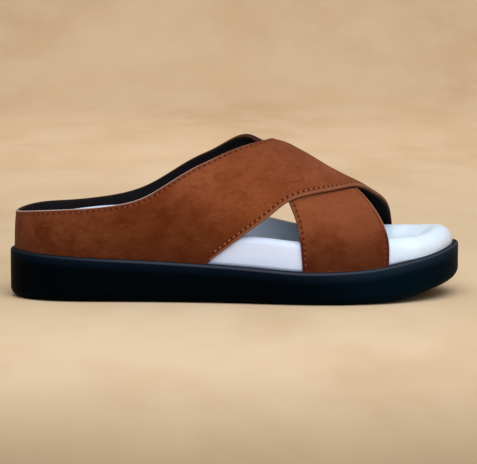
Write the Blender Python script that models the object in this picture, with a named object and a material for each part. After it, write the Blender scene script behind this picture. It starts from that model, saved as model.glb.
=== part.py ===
"""Slide sandal for a right foot: a rubber outsole, a contoured footbed and an upper of two crossed straps.

X runs from heel to toe, Y towards the big toe and Z up. The origin is on the floor, under the middle.
The last's surface, the footbed and the outsole are all worked out from one outline of the sole.
"""

import math

import bmesh
import bpy
import numpy as np

MM = 0.001

# Outsole
SOLE_LENGTH = 284 * MM
SOLE_WIDTH = 108 * MM
HEEL_HEIGHT = 31 * MM
BALL_HEIGHT = 20.2 * MM
TOE_HEIGHT = 34.2 * MM
TOE_SPRING = 11.5 * MM
BOTTOM_ROLL = 6 * MM
RIM_ROUND = 2.2 * MM
LEDGE = 2.6 * MM

# Footbed
BANK_HEIGHT = 18 * MM
BANK_WIDTH = 22 * MM
BANK_ROUND = 4 * MM
TOE_BANK_ROUND = 9 * MM
TOE_LEDGE = 3.7 * MM

# Upper
WALL = 3.0 * MM
HEEL_TOP = 104 * MM
INSTEP_TOP = 98 * MM
TOE_TOP = 50 * MM
RIDGE_OFFSET = 5 * MM
ARCH_POWER = 2.2
FUSED = 0.5 * MM
CROSSING_RAMP = 20 * MM

# Tread
GROOVE_WIDTH = 3 * MM
GROOVE_DEPTH = 2.2 * MM
GROOVE_PITCH = 11 * MM
GROOVE_BOW = 5 * MM
TREAD_MARGIN = 12 * MM
HEEL_GROOVES = 5
FOREFOOT_GROOVES = 8
HEEL_TREAD_START = 0.075
FOREFOOT_TREAD_START = 0.56

GAP = 0.3 * MM

# Half widths of the sole, as shares of half its width: along (share of the length), little-toe side, big-toe side
OUTLINE = (
    (0.00, 0.00, 0.00),
    (0.04, 0.46, 0.47),
    (0.12, 0.66, 0.66),
    (0.25, 0.71, 0.67),
    (0.40, 0.76, 0.63),
    (0.52, 0.86, 0.67),
    (0.63, 0.97, 0.82),
    (0.72, 1.00, 0.96),
    (0.81, 0.92, 0.99),
    (0.89, 0.74, 0.90),
    (0.95, 0.49, 0.74),
    (1.00, -0.18, 0.18),
)

# Heights of the sole: along, rise to the heel and to the toe above the ball (top), rise to the toe (bottom)
SOLE_HEIGHTS = (
    (0.00, 1.00, 0.00, 0.00),
    (0.10, 0.81, 0.00, 0.00),
    (0.20, 0.66, 0.00, 0.00),
    (0.31, 0.53, 0.00, 0.00),
    (0.45, 0.34, 0.00, 0.00),
    (0.55, 0.18, 0.00, 0.00),
    (0.65, 0.02, 0.00, 0.00),
    (0.73, 0.00, 0.05, 0.00),
    (0.80, 0.00, 0.15, 0.04),
    (0.87, 0.00, 0.38, 0.20),
    (0.93, 0.00, 0.62, 0.57),
    (1.00, 0.00, 1.00, 1.00),
)

# Footbed above the outsole, as shares of the bank's height: along, little-toe bank, big-toe bank, seat
FOOTBED_HEIGHTS = (
    (0.00, 1.02, 1.02, 0.62),
    (0.10, 1.02, 1.23, 0.42),
    (0.20, 1.00, 1.48, 0.44),
    (0.30, 1.00, 1.61, 0.54),
    (0.45, 1.02, 1.62, 0.72),
    (0.55, 1.04, 1.44, 0.72),
    (0.65, 0.98, 1.12, 0.62),
    (0.75, 0.92, 0.95, 0.55),
    (0.85, 0.84, 0.90, 0.54),
    (0.93, 0.64, 0.70, 0.46),
    (1.00, 0.56, 0.56, 0.38),
)

# Ridge of the last: along, share of the instep's height above the toe's
RIDGE_HEIGHTS = (
    (0.45, 1.06),
    (0.53, 1.02),
    (0.57, 0.92),
    (0.61, 0.85),
    (0.63, 0.785),
    (0.68, 0.615),
    (0.74, 0.44),
    (0.78, 0.355),
    (0.84, 0.19),
    (0.92, 0.00),
    (1.00, -0.15),
)

# Where the straps' edges cross: along, around (degrees from the ridge, towards the little toe negative)
REAR_CROSSING = (0.556, -11)
FRONT_CROSSING = (0.769, -17)
LATERAL_CROSSING = (0.614, -56)
MEDIAL_CROSSING = (0.622, 54)

# Strap from the little-toe side of the heel, over the other one: rear edge, then front edge
OVER_STRAP = (
    ((0.00, -73.5), (0.00, -90)),
    ((0.05, -71.8), (0.05, -90)),
    ((0.12, -70.1), (0.13, -90)),
    ((0.19, -68.5), (0.21, -90)),
    ((0.25, -66.3), (0.29, -90)),
    ((0.30, -62.3), (0.365, -90)),
    ((0.35, -54.3), (0.436, -90)),
    ((0.42, -41.3), (0.495, -81)),
    ((0.49, -29.5), (0.556, -69.5)),
    (REAR_CROSSING, LATERAL_CROSSING),
    ((0.597, 26), (0.697, -38.5)),
    (MEDIAL_CROSSING, FRONT_CROSSING),
    ((0.634, 66), (0.850, 23)),
    ((0.642, 78), (0.864, 60)),
    ((0.644, 90), (0.869, 90)),
)

# Strap from the big-toe side of the heel, under the other one: rear edge, then front edge
UNDER_STRAP = (
    ((0.00, 73.5), (0.00, 90)),
    ((0.05, 71.0), (0.05, 90)),
    ((0.12, 69.8), (0.13, 90)),
    ((0.19, 67.9), (0.21, 90)),
    ((0.25, 65.0), (0.29, 90)),
    ((0.30, 60.3), (0.365, 90)),
    ((0.35, 52.0), (0.438, 90)),
    ((0.42, 37.7), (0.498, 79.5)),
    ((0.487, 22), (0.560, 68)),
    (REAR_CROSSING, MEDIAL_CROSSING),
    ((0.585, -33), (0.70, 24)),
    (LATERAL_CROSSING, FRONT_CROSSING),
    ((0.631, -67), (0.812, -40)),
    ((0.641, -81), (0.838, -68)),
    ((0.644, -90), (0.838, -90)),
)
CORNER_ROW = 6
FIRST_CROSSING_ROW = 9
LAST_CROSSING_ROW = 11

# Cross sections fan out round the heel and the toe: reach on the spine, and where the fan ends
HEEL_FAN = 0.12
TOE_FAN = 0.10
HEEL_FAN_END = 0.30
TOE_FAN_END = 0.26

# Shares of the length between which one shape changes into the next
LAST_LEVEL_END = 0.20
INSTEP_START = 0.45
TOE_FILL_START = 0.87
TOE_FILL_END = 0.92
TOE_ROUND_START = 0.82
TOE_ROUND_END = 0.94

ROUND_COUNT = 104
SHARP_ANGLE = 35
NORMAL_STEP = 0.05
STRAP_STEP = 5.2 * MM
STRAP_CELLS = 10
DELTA = 1e-4


def smooth_curve(places, values):
    """The natural cubic spline through the points, as a function."""
    x = np.asarray(places, float)
    y = np.asarray(values, float)
    step = np.diff(x)
    slope = np.diff(y) / step
    matrix = np.eye(len(x))
    right = np.zeros(len(x))
    for i in range(1, len(x) - 1):
        matrix[i, i - 1 : i + 2] = step[i - 1], 2 * (step[i - 1] + step[i]), step[i]
        right[i] = 6 * (slope[i] - slope[i - 1])
    bend = np.linalg.solve(matrix, right)

    def at(place):
        place = np.clip(np.asarray(place, float), x[0], x[-1])
        i = np.clip(np.searchsorted(x, place, side="right") - 1, 0, len(x) - 2)
        b = (place - x[i]) / step[i]
        a = 1 - b
        curve = ((a**3 - a) * bend[i] + (b**3 - b) * bend[i + 1]) * step[i] ** 2 / 6
        return a * y[i] + b * y[i + 1] + curve

    return at


def column(table, number):
    return smooth_curve([row[0] for row in table], [row[number] for row in table])


def smooth_step(value):
    value = np.clip(value, 0, 1)
    return value * value * (3 - 2 * value)


def ramp(value, start, end):
    return smooth_step((value - start) / (end - start))


def turn_of(along):
    """Share of the length as a share of a half turn, so that even steps round the heel and toe."""
    return np.arccos(1 - 2 * np.asarray(along, float)) / math.pi


def along_of(turn):
    return (1 - np.cos(math.pi * np.asarray(turn, float))) / 2


def side_curve():
    """Y of the sole's edge over two whole turns: little-toe side before 0, big-toe side after it."""
    lateral = [(-turn_of(a), -little) for a, little, big in reversed(OUTLINE[1:])]
    medial = [(turn_of(a), big) for a, little, big in OUTLINE[:-1]]
    once = lateral + medial
    rows = [(t + 2 * lap, y) for lap in (-1, 0, 1) for t, y in once]
    rough = smooth_curve(*zip(*rows))
    sampled = rough(np.linspace(-1, 1, 801))
    middle = (sampled.max() + sampled.min()) / 2
    width = sampled.max() - sampled.min()
    return lambda turn: (rough(turn) - middle) / width * SOLE_WIDTH


SIDE = side_curve()
HEEL_RISE = column(SOLE_HEIGHTS, 1)
TOE_RISE = column(SOLE_HEIGHTS, 2)
SPRING_RISE = column(SOLE_HEIGHTS, 3)
LATERAL_BANK = column(FOOTBED_HEIGHTS, 1)
MEDIAL_BANK = column(FOOTBED_HEIGHTS, 2)
SEAT = column(FOOTBED_HEIGHTS, 3)
RIDGE_RISE = column(RIDGE_HEIGHTS, 1)


def wrapped(turn):
    return (np.asarray(turn, float) + 1) % 2 - 1


def edge(turn, inset):
    """Plan position of the sole's edge, moved inwards. Turn -1 and 1 are the toe and 0 is the heel."""

    def point(at):
        at = wrapped(at)
        return np.stack([(along_of(at) - 0.5) * SOLE_LENGTH, SIDE(at)], -1)

    ahead = point(turn + DELTA) - point(turn - DELTA)
    ahead /= np.linalg.norm(ahead, axis=-1, keepdims=True)
    inwards = np.stack([ahead[..., 1], -ahead[..., 0]], -1)
    return point(turn) + inwards * np.asarray(inset)[..., None]


def spine(turn):
    """Plan position of the middle line. Sections fan out round the heel and the toe."""
    along = along_of(turn)
    heel = HEEL_FAN * np.clip(1 - along / HEEL_FAN_END, 0, 1) ** 2
    toe = TOE_FAN * np.clip(1 - (1 - along) / TOE_FAN_END, 0, 1) ** 2
    middle = (SIDE(np.abs(turn)) + SIDE(-np.abs(turn))) / 2
    return np.stack([(along + heel - toe - 0.5) * SOLE_LENGTH, middle], -1)


def share_of(x):
    return np.clip(x / SOLE_LENGTH + 0.5, 0, 1)


def sole_top(x):
    along = share_of(x)
    to_heel = (HEEL_HEIGHT - BALL_HEIGHT) * HEEL_RISE(along)
    return BALL_HEIGHT + to_heel + (TOE_HEIGHT - BALL_HEIGHT) * TOE_RISE(along)


def sole_bottom(x):
    return TOE_SPRING * np.maximum(SPRING_RISE(share_of(x)), 0)


def with_height(plan, height):
    return np.concatenate([plan, np.asarray(height)[..., None]], -1)


def turns_round():
    return (np.arange(ROUND_COUNT) / ROUND_COUNT) * 2 - 1


def lofted(name, rings, material):
    """A closed solid skinned over rings of points. The first and last ring close up on the spine."""
    mesh = bpy.data.meshes.new(name)
    count = len(rings[0])
    faces = []
    for r in range(len(rings) - 1):
        for i in range(count):
            j = (i + 1) % count
            faces.append((r * count + i, r * count + j, (r + 1) * count + j, (r + 1) * count + i))
    mesh.from_pydata(np.concatenate(rings).tolist(), [], faces)
    return finished(name, mesh, material)


def finished(name, mesh, material):
    shape = bmesh.new()
    shape.from_mesh(mesh)
    bmesh.ops.remove_doubles(shape, verts=shape.verts, dist=1e-6)
    bmesh.ops.dissolve_degenerate(shape, edges=shape.edges, dist=1e-6)
    bmesh.ops.recalc_face_normals(shape, faces=shape.faces)
    shape.to_mesh(mesh)
    shape.free()
    mesh.shade_smooth()
    mesh.set_sharp_from_angle(angle=math.radians(SHARP_ANGLE))
    mesh.materials.append(material)
    part = bpy.data.objects.new(name, mesh)
    bpy.context.scene.collection.objects.link(part)
    return part


def make_material(name, colour, roughness):
    material = bpy.data.materials.new(name)
    material.use_nodes = True
    shader = material.node_tree.nodes["Principled BSDF"]
    shader.inputs["Base Color"].default_value = (*colour, 1)
    shader.inputs["Roughness"].default_value = roughness
    return material


def quarter_turn(steps):
    return np.linspace(0, math.pi / 2, steps + 1)


def outsole():
    turns = turns_round()
    middle = spine(turns)
    rings = [with_height(middle, sole_bottom(middle[:, 0]))]
    for angle in quarter_turn(4):
        plan = edge(turns, BOTTOM_ROLL * (1 - math.sin(angle)))
        rise = BOTTOM_ROLL * (1 - math.cos(angle))
        rings.append(with_height(plan, sole_bottom(plan[:, 0]) + rise))
    for angle in quarter_turn(3):
        plan = edge(turns, RIM_ROUND * (1 - math.cos(angle)))
        drop = RIM_ROUND * (1 - math.sin(angle))
        rings.append(with_height(plan, sole_top(plan[:, 0]) - drop))
    plan = edge(turns, LEDGE + WALL)
    rings.append(with_height(plan, sole_top(plan[:, 0])))
    for share in (0.4, 0.75, 1.0):
        inner = plan + (middle - plan) * share
        rings.append(with_height(inner, sole_top(inner[:, 0])))
    body = lofted("outsole", rings, make_material("rubber", (0.012, 0.015, 0.02), 0.5))
    cut = body.modifiers.new("grooves", "BOOLEAN")
    cut.operation = "DIFFERENCE"
    cut.solver = "EXACT"
    cut.object = groove_cutter()
    return body


def groove_cutter():
    """Bowed grooves across the heel and the forefoot, as one cutter that is not shown."""
    rows = [HEEL_TREAD_START * SOLE_LENGTH + i * GROOVE_PITCH for i in range(HEEL_GROOVES)]
    rows += [FOREFOOT_TREAD_START * SOLE_LENGTH + i * GROOVE_PITCH for i in range(FOREFOOT_GROOVES)]
    shape = bmesh.new()
    for row in rows:
        turn = float(turn_of(row / SOLE_LENGTH))
        low = float(SIDE(-turn)) + TREAD_MARGIN
        high = float(SIDE(turn)) - TREAD_MARGIN
        add_groove(shape, row - SOLE_LENGTH / 2, low, high)
    mesh = bpy.data.meshes.new("groove_cutter")
    shape.to_mesh(mesh)
    shape.free()
    cutter = bpy.data.objects.new("groove_cutter", mesh)
    bpy.context.scene.collection.objects.link(cutter)
    cutter.hide_render = True
    cutter.display_type = "WIRE"
    return cutter


def add_groove(shape, x, low, high):
    across = np.linspace(0, 1, 7)
    y = low + (high - low) * across
    centre = x + GROOVE_BOW * (1 - (2 * across - 1) ** 2)
    rings = []
    for at, along in zip(y, centre):
        floor = float(sole_bottom(along))
        corners = [
            (along - GROOVE_WIDTH / 2, floor - GROOVE_DEPTH),
            (along + GROOVE_WIDTH / 2, floor - GROOVE_DEPTH),
            (along + GROOVE_WIDTH / 2, floor + GROOVE_DEPTH),
            (along - GROOVE_WIDTH / 2, floor + GROOVE_DEPTH),
        ]
        rings.append([shape.verts.new((cx, at, cz)) for cx, cz in corners])
    for first, second in zip(rings, rings[1:]):
        for i in range(4):
            j = (i + 1) % 4
            shape.faces.new((first[i], first[j], second[j], second[i]))
    shape.faces.new(rings[0])
    shape.faces.new(list(reversed(rings[-1])))
    bmesh.ops.recalc_face_normals(shape, faces=shape.faces)


def ridge_height(along):
    """Top of the last: level behind the instep, then falling to the toes."""
    instep = TOE_TOP + (INSTEP_TOP - TOE_TOP) * RIDGE_RISE(along)
    return HEEL_TOP + (instep - HEEL_TOP) * ramp(along, LAST_LEVEL_END, INSTEP_START)


def toe_share(turn):
    """Under the straps the footbed follows their lining; past them it fills out towards the toe."""
    return ramp(along_of(turn), TOE_FILL_START, TOE_FILL_END)


def last_face(turn, rise, inset):
    """Plan position on the last at a height above the outsole, moved inwards. It leans in with height."""
    ahead = toe_share(turn)
    foot = edge(turn, inset + (LEDGE + WALL + GAP) * (1 - ahead) + TOE_LEDGE * ahead)
    top = spine(turn) + [0, RIDGE_OFFSET]
    share = np.clip(rise / (ridge_height(along_of(turn)) - sole_top(foot[:, 0])), 0, 1)
    lean = 1 - (1 - share**ARCH_POWER) ** (1 / ARCH_POWER)
    return foot + (top - foot) * (lean * (1 - ahead))[:, None]


def bank_round(turn):
    """Rounding of the bank's top edge, wider where the footbed runs out in front of the straps."""
    ahead = ramp(along_of(turn), TOE_ROUND_START, TOE_ROUND_END)
    return BANK_ROUND + (TOE_BANK_ROUND - BANK_ROUND) * ahead


def bank_top(turn):
    along = along_of(turn)
    share = np.where(wrapped(turn) < 0, LATERAL_BANK(along), MEDIAL_BANK(along))
    return BANK_HEIGHT * share


def footbed():
    turns = turns_round()
    middle = spine(turns)
    none = np.zeros(ROUND_COUNT)
    wall = last_face(turns, none, none)
    base = sole_top(wall[:, 0])
    top = bank_top(turns)
    rounding = bank_round(turns)
    rings = []
    for share in (1.0, 0.5, 0.0):
        plan = wall + (middle - wall) * share
        rings.append(with_height(plan, sole_top(plan[:, 0]) + GAP))
    for share in (0.35, 0.7):
        rise = (top - rounding) * share
        rings.append(with_height(last_face(turns, rise, none), base + rise))
    for angle in quarter_turn(4):
        rise = top - rounding * (1 - math.sin(angle))
        inset = rounding * (1 - math.cos(angle))
        rings.append(with_height(last_face(turns, rise, inset), base + rise))
    rim = rings[-1]
    reach = np.linalg.norm(middle - rim[:, :2], axis=-1)
    seat = sole_top(middle[:, 0]) + BANK_HEIGHT * SEAT(share_of(middle[:, 0]))
    for share in (0.08, 0.18, 0.3, 0.45, 0.7, 1.0):
        plan = rim[:, :2] + (middle - rim[:, :2]) * share
        fall = smooth_step(share * reach / np.minimum(BANK_WIDTH, reach))
        rings.append(with_height(plan, rim[:, 2] + (seat - rim[:, 2]) * fall))
    return lofted("footbed", rings, make_material("footbed_cover", (0.83, 0.86, 0.93), 0.45))


def last_point(turn, around):
    """Point of the last: turn as for edge() without its sign, around in degrees from the ridge."""
    flipped = turn < 0
    turn = np.abs(turn)
    around = np.where(flipped, -around, around)
    signed = np.where(around < 0, -turn, turn)
    angle = np.radians(np.minimum(np.abs(around), 90))
    foot = edge(signed, LEDGE + WALL)
    top = spine(turn) + [0, RIDGE_OFFSET]
    inwards = 1 - np.sin(angle) ** (2 / ARCH_POWER)
    upwards = np.clip(np.cos(angle), 0, 1) ** (2 / ARCH_POWER)
    plan = foot + (top - foot) * inwards[..., None]
    base = sole_top(foot[..., 0]) + GAP
    return with_height(plan, base + (ridge_height(along_of(turn)) - base) * upwards)


def last_normal(turn, around):
    """Outward normal of the last, from points a small step away."""
    lower = np.clip(around - NORMAL_STEP, -90, 90)
    upper = np.clip(around + NORMAL_STEP, -90, 90)
    across = last_point(turn, upper) - last_point(turn, lower)
    along = last_point(turn + DELTA, around) - last_point(turn - DELTA, around)
    normal = np.cross(along, across)
    return normal / np.linalg.norm(normal, axis=-1, keepdims=True)


def edge_curve(places, points):
    """Smooth curve through (along, around) points, as a function that gives turn and around."""
    turns = smooth_curve(places, [turn_of(along) for along, around in points])
    angles = smooth_curve(places, [around for along, around in points])
    return lambda place: (turns(place), angles(place))


def strap_rows(table):
    """Stations along a strap, the two edges there, and the places of the table's own rows."""
    rear = [row[0] for row in table]
    front = [row[1] for row in table]

    def spots(points):
        return last_point(
            np.array([float(turn_of(p[0])) for p in points]), np.array([float(p[1]) for p in points])
        )

    centre = (spots(rear) + spots(front)) / 2
    places = np.concatenate([[0], np.cumsum(np.linalg.norm(np.diff(centre, axis=0), axis=1))])
    stations = [places[0]]
    for start, end in zip(places, places[1:]):
        pieces = max(1, round((end - start) / STRAP_STEP))
        stations.extend(np.linspace(start, end, pieces + 1)[1:])
    stations = np.array(stations)
    corner = places[CORNER_ROW]
    rear_at = edge_curve(places, rear)(stations)
    foot_at = edge_curve(places[: CORNER_ROW + 1], front[: CORNER_ROW + 1])(stations)
    free_at = edge_curve(places[CORNER_ROW:], front[CORNER_ROW:])(stations)
    front_at = [np.where(stations <= corner, a, b) for a, b in zip(foot_at, free_at)]
    return stations, rear_at, front_at, places


def strap_sections(table, lift):
    """One closed section for each station of a strap: the outer face, then the lining face back."""
    stations, rear, front, places = strap_rows(table)
    across = np.linspace(0, 1, STRAP_CELLS + 1)
    turn = rear[0][:, None] + (front[0] - rear[0])[:, None] * across
    around = rear[1][:, None] + (front[1] - rear[1])[:, None] * across
    surface = last_point(turn, around)
    normal = last_normal(turn, around)
    rise = lift(stations, places)[:, None, None]
    lining = surface + normal * rise
    outer = surface + normal * (rise + WALL)
    return np.concatenate([outer, lining[:, ::-1]], axis=1)


def no_lift(stations, places):
    return np.zeros(len(stations))


def crossing_lift(stations, places):
    """The upper strap climbs over the lower one and is fused into it."""
    half = CROSSING_RAMP / 2
    on = smooth_step((stations - places[FIRST_CROSSING_ROW] + half) / CROSSING_RAMP)
    off = smooth_step((stations - places[LAST_CROSSING_ROW] + half) / CROSSING_RAMP)
    return (WALL - FUSED) * (on - off)


def ribbon(name, sections, material):
    """A closed solid skinned along a strap's sections."""
    rows, count = sections.shape[:2]
    faces = []
    for r in range(rows - 1):
        for i in range(count):
            j = (i + 1) % count
            faces.append((r * count + i, r * count + j, (r + 1) * count + j, (r + 1) * count + i))
    for r in (0, rows - 1):
        for i in range(STRAP_CELLS):
            far = count - 1 - i
            faces.append((r * count + i, r * count + i + 1, r * count + far - 1, r * count + far))
    mesh = bpy.data.meshes.new(name)
    mesh.from_pydata(sections.reshape(-1, 3).tolist(), [], faces)
    return finished(name, mesh, material)


def upper():
    """Both straps as one body. They meet at the back of the heel and are joined where they cross."""
    suede = make_material("suede", (0.26, 0.075, 0.025), 0.95)
    body = ribbon("upper", strap_sections(UNDER_STRAP, no_lift), suede)
    over = ribbon("over_strap", strap_sections(OVER_STRAP, crossing_lift), suede)
    over.hide_render = True
    over.display_type = "WIRE"
    joined = body.modifiers.new("joined", "BOOLEAN")
    joined.operation = "UNION"
    joined.solver = "EXACT"
    joined.object = over
    return body


def main():
    for old in list(bpy.data.objects):
        bpy.data.objects.remove(old)
    outsole()
    footbed()
    upper()


main()
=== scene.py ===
"""Looks of a slide sandal for a right foot: suede straps, black lining, white footbed, dark outsole.

X runs from heel to toe, Y towards the big toe and Z up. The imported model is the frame. Each solid is
replaced by a finer shell, worked out from the same outline and the same surface of the last.
"""

import math

import bmesh
import bpy
import numpy as np
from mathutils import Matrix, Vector


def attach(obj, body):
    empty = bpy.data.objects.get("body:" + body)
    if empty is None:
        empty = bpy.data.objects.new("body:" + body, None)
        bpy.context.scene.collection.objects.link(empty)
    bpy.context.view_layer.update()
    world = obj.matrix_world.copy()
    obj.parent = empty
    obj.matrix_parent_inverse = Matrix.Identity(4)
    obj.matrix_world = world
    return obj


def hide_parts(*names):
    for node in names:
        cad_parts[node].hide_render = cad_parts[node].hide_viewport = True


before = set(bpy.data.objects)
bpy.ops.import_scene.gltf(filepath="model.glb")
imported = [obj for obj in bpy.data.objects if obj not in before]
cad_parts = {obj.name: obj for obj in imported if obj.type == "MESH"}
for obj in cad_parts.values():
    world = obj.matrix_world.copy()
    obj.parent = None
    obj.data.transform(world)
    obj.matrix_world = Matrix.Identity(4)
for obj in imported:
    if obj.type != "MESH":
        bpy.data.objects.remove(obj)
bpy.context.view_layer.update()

MM = 0.001

# Outsole, as in the frame
SOLE_LENGTH = 284 * MM
SOLE_WIDTH = 108 * MM
HEEL_HEIGHT = 31 * MM
BALL_HEIGHT = 20.2 * MM
TOE_HEIGHT = 34.2 * MM
TOE_SPRING = 11.5 * MM
BOTTOM_ROLL = 6 * MM
RIM_ROUND = 2.2 * MM
LEDGE = 2.6 * MM

# Footbed, as in the frame
BANK_HEIGHT = 18 * MM
BANK_WIDTH = 22 * MM
BANK_ROUND = 4 * MM
TOE_BANK_ROUND = 9 * MM
TOE_LEDGE = 3.7 * MM

# Where the footbed fills out past the straps and where its top edge gets rounder: shares of the length
TOE_FILL_START = 0.87
TOE_FILL_END = 0.92
TOE_ROUND_START = 0.82
TOE_ROUND_END = 0.94

# Upper, as in the frame
WALL = 3.0 * MM
HEEL_TOP = 104 * MM
INSTEP_TOP = 98 * MM
TOE_TOP = 50 * MM
RIDGE_OFFSET = 5 * MM
ARCH_POWER = 2.2
LAST_LEVEL_END = 0.20
INSTEP_START = 0.45

# Tread, as in the frame
GROOVE_WIDTH = 3 * MM
GROOVE_DEPTH = 2.2 * MM
GROOVE_PITCH = 11 * MM
GROOVE_BOW = 5 * MM
TREAD_MARGIN = 12 * MM
HEEL_GROOVES = 5
FOREFOOT_GROOVES = 8
HEEL_TREAD_START = 0.075
FOREFOOT_TREAD_START = 0.56

GAP = 0.3 * MM
SEAM_GAP = 0.08 * MM

# Half widths of the sole, as shares of half its width: along (share of the length), little-toe side,
# big-toe side
OUTLINE = (
    (0.00, 0.00, 0.00),
    (0.04, 0.46, 0.47),
    (0.12, 0.66, 0.66),
    (0.25, 0.71, 0.67),
    (0.40, 0.76, 0.63),
    (0.52, 0.86, 0.67),
    (0.63, 0.97, 0.82),
    (0.72, 1.00, 0.96),
    (0.81, 0.92, 0.99),
    (0.89, 0.74, 0.90),
    (0.95, 0.49, 0.74),
    (1.00, -0.18, 0.18),
)

# Heights of the sole: along, rise of the top to the heel and to the toe, rise of the bottom to the toe
SOLE_HEIGHTS = (
    (0.00, 1.00, 0.00, 0.00),
    (0.10, 0.81, 0.00, 0.00),
    (0.20, 0.66, 0.00, 0.00),
    (0.31, 0.53, 0.00, 0.00),
    (0.45, 0.34, 0.00, 0.00),
    (0.55, 0.18, 0.00, 0.00),
    (0.65, 0.02, 0.00, 0.00),
    (0.73, 0.00, 0.05, 0.00),
    (0.80, 0.00, 0.15, 0.04),
    (0.87, 0.00, 0.38, 0.20),
    (0.93, 0.00, 0.62, 0.57),
    (1.00, 0.00, 1.00, 1.00),
)

# Footbed above the outsole, as shares of the bank's height: along, little-toe bank, big-toe bank, seat
FOOTBED_HEIGHTS = (
    (0.00, 1.02, 1.02, 0.62),
    (0.10, 1.02, 1.23, 0.42),
    (0.20, 1.00, 1.48, 0.44),
    (0.30, 1.00, 1.61, 0.54),
    (0.45, 1.02, 1.62, 0.72),
    (0.55, 1.04, 1.44, 0.72),
    (0.65, 0.98, 1.12, 0.62),
    (0.75, 0.92, 0.95, 0.55),
    (0.85, 0.84, 0.90, 0.54),
    (0.93, 0.64, 0.70, 0.46),
    (1.00, 0.56, 0.56, 0.38),
)

# Ridge of the last: along, share of the instep's height above the toe's
RIDGE_HEIGHTS = (
    (0.45, 1.06),
    (0.53, 1.02),
    (0.57, 0.92),
    (0.61, 0.85),
    (0.63, 0.785),
    (0.68, 0.615),
    (0.74, 0.44),
    (0.78, 0.355),
    (0.84, 0.19),
    (0.92, 0.00),
    (1.00, -0.15),
)

# Where the straps' edges cross: along, around (degrees from the ridge, little toe negative)
REAR_CROSSING = (0.556, -11)
FRONT_CROSSING = (0.769, -17)
LATERAL_CROSSING = (0.614, -56)
MEDIAL_CROSSING = (0.622, 54)

# Strap from the little-toe side of the heel, over the other one: rear edge, then front edge
OVER_STRAP = (
    ((0.00, -73.5), (0.00, -90)),
    ((0.05, -71.8), (0.05, -90)),
    ((0.12, -70.1), (0.13, -90)),
    ((0.19, -68.5), (0.21, -90)),
    ((0.25, -66.3), (0.29, -90)),
    ((0.30, -62.3), (0.365, -90)),
    ((0.35, -54.3), (0.436, -90)),
    ((0.42, -41.3), (0.495, -81)),
    ((0.49, -29.5), (0.556, -69.5)),
    (REAR_CROSSING, LATERAL_CROSSING),
    ((0.597, 26), (0.697, -38.5)),
    (MEDIAL_CROSSING, FRONT_CROSSING),
    ((0.634, 66), (0.850, 23)),
    ((0.642, 78), (0.864, 60)),
    ((0.644, 90), (0.869, 90)),
)

# Strap from the big-toe side of the heel, under the other one: rear edge, then front edge
UNDER_STRAP = (
    ((0.00, 73.5), (0.00, 90)),
    ((0.05, 71.0), (0.05, 90)),
    ((0.12, 69.8), (0.13, 90)),
    ((0.19, 67.9), (0.21, 90)),
    ((0.25, 65.0), (0.29, 90)),
    ((0.30, 60.3), (0.365, 90)),
    ((0.35, 52.0), (0.438, 90)),
    ((0.42, 37.7), (0.498, 79.5)),
    ((0.487, 22), (0.560, 68)),
    (REAR_CROSSING, MEDIAL_CROSSING),
    ((0.585, -33), (0.70, 24)),
    (LATERAL_CROSSING, FRONT_CROSSING),
    ((0.631, -67), (0.812, -40)),
    ((0.641, -81), (0.838, -68)),
    ((0.644, -90), (0.838, -90)),
)
CORNER_ROW = 6
FIRST_CROSSING_ROW = 9
LAST_CROSSING_ROW = 11

# Cross sections fan out round the heel and the toe: reach on the spine, and where the fan ends
HEEL_FAN = 0.12
TOE_FAN = 0.10
HEEL_FAN_END = 0.30
TOE_FAN_END = 0.26

# Layers of the straps, outwards from the last
LINING = 1.25 * MM
LAYER_GAP = 0.04 * MM
CROSSING_LIFT = 2.9 * MM
CROSSING_RAMP = 22 * MM
RAMP_OUTSIDE = 0.75
CORNER_RAMP = 5 * MM
REAR_TURNED_EDGE = 0.3 * MM
FRONT_TURNED_EDGE = 0.8 * MM
TURNED_FOOT = 0.5 * MM
TURNED_STEP = 0.1 * MM
TUCK_WIDTH = 0.5 * MM
TUCK_HEIGHT = 0.45 * MM
REAR_LINING_INSET = 0.45 * MM
FRONT_LINING_INSET = 0.95 * MM
LINING_ROUND = 0.8 * MM
LINING_SOFTNESS = 0.35 * MM

# Suede's rounded edges and the channel that the stitches pull down
EDGE_ROUND = 1.3 * MM
EDGE_ROUND_SHARE = 0.9
STITCH_SINK = 0.28 * MM
STITCH_CHANNEL = 0.8 * MM
EDGE_PUFF = 0.16 * MM
PUFF_PLACE = 0.5
PUFF_WIDTH = 0.35
REAR_STITCH_INSET = 2.2 * MM
FRONT_STITCH_INSET = 2.7 * MM
FAR_FROM_EDGE = 9 * MM
CREASE_FADE = 9 * MM

# Height over which painted shade darkens the suede towards the sole, behind and in front, and the X
# between the two
LOW_FADE_BACK = 46 * MM
LOW_FADE_FRONT = 25 * MM
LOW_FADE_START = -55 * MM
LOW_FADE_END = 10 * MM

# Threads, and how dark the painted shade in their holes is: in front on the upper and the lower strap,
# behind on the upper strap from one X to another and on the lower strap
STITCH_PITCH = 3.6 * MM
THREAD_LENGTH = 2.5 * MM
THREAD_WIDTH = 0.95 * MM
THREAD_HEIGHT = 0.62 * MM
THREAD_SLANT = 14
THREAD_TAPER = 3.2
THREAD_DIVE = 0.30 * MM
THREAD_DIVE_POWER = 2.5
THREAD_STAND = 0.06 * MM
LOWER_THREAD_SINK = 0.2 * MM
CORNER_MARGIN = 3 * MM
REAR_TONE = 0.15
UPPER_FRONT_TONE = 0.8
LOWER_FRONT_TONE = 0.0
HOLE_SIZE = 0.62
FRONT_HOLES = (1.0, 0.3)
REAR_HOLES = (0.45, 0.75, 0.85)
REAR_HOLES_START = -110 * MM
REAR_HOLES_END = -60 * MM

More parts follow.
